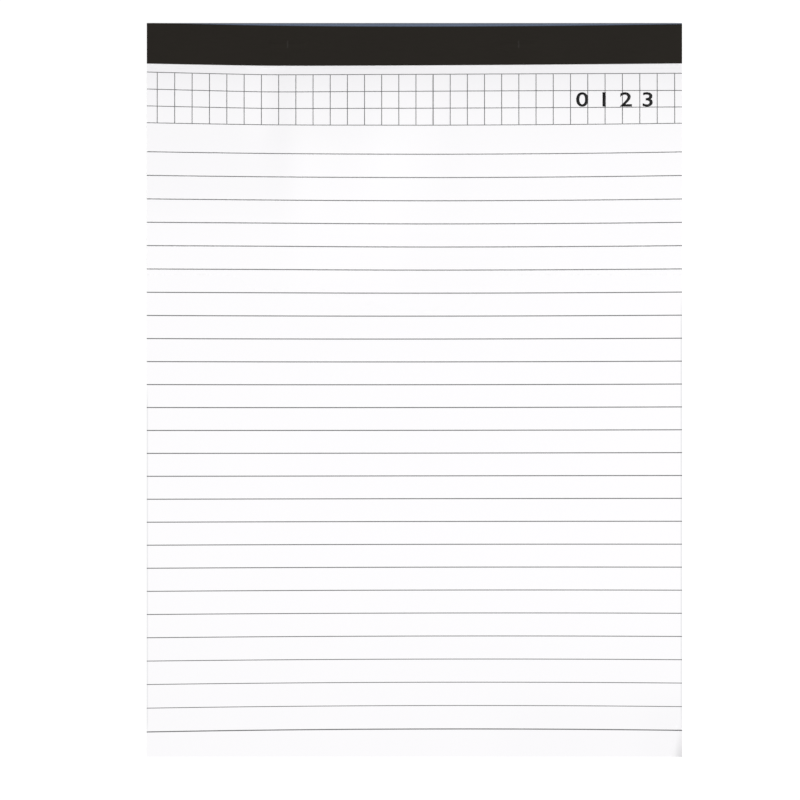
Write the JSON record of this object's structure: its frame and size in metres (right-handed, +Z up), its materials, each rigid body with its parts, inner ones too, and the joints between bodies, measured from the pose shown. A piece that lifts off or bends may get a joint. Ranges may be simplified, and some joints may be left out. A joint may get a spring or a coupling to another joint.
{
  "type": "tear-off memo pad",
  "caption": "Pad of ruled sheets with a squared header, on a backing board, stitched and bound with a black tape over its head; one corner of the top sheets is lifted.",
  "frame": {"origin": "centre of the underside", "axes": "+X across the page to the right, +Y up the page to the taped head, +Z up from the table"},
  "size_m": [0.186, 0.255, 0.0074],
  "materials": {
    "paper": "matte",
    "board": "matte",
    "tape": "matte",
    "wire": "satin",
    "ink": "matte"
  },
  "bodies": {
    "root": {"sheets": "paper", "backing_board": "board", "head_tape": "tape", "stitch_left": "wire", "stitch_right": "wire", "ruled_lines": "ink", "header_grid": "ink"}
  },
  "joints": []
}
